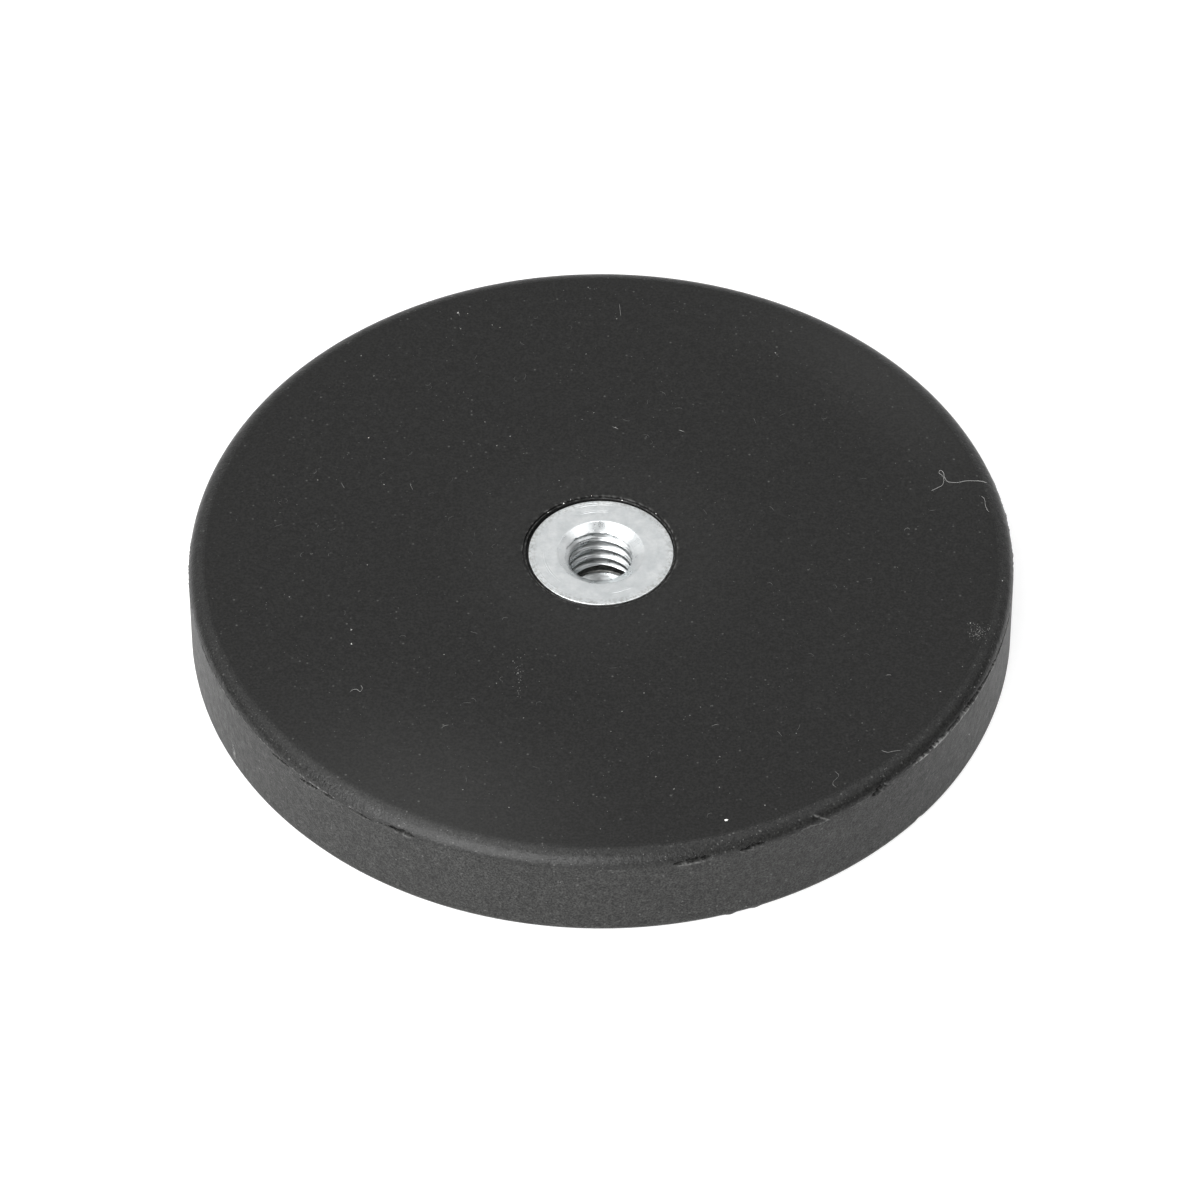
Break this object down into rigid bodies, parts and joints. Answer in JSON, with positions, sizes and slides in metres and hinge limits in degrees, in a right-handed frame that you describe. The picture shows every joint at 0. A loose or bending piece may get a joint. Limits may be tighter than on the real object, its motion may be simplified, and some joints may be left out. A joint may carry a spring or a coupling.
{
  "type": "pot magnet",
  "caption": "Flat round pot magnet in a moulded rubber jacket, with a flush steel bush in the middle that takes a metric screw.",
  "frame": {"origin": "centre of the rubber face that holds to the work, at the bottom", "axes": "+Z along the axis of the disc, from the holding face out through the mouth of the threaded bush; X and Y lie anywhere in the holding face, because the disc is round"},
  "size_m": [0.066, 0.066, 0.0085],
  "materials": {
    "rubber": "satin",
    "zinc_plated_steel": "satin",
    "plate_steel": "satin",
    "nickel_plating": "polished"
  },
  "bodies": {
    "root": {"rubber_jacket": "rubber", "threaded_bush": "zinc_plated_steel", "steel_plate": "plate_steel", "magnet_01": "nickel_plating", "magnet_02": "nickel_plating", "magnet_03": "nickel_plating", "magnet_04": "nickel_plating", "magnet_05": "nickel_plating", "magnet_06": "nickel_plating", "magnet_07": "nickel_plating", "magnet_08": "nickel_plating", "magnet_09": "nickel_plating", "magnet_10": "nickel_plating"}
  },
  "joints": []
}
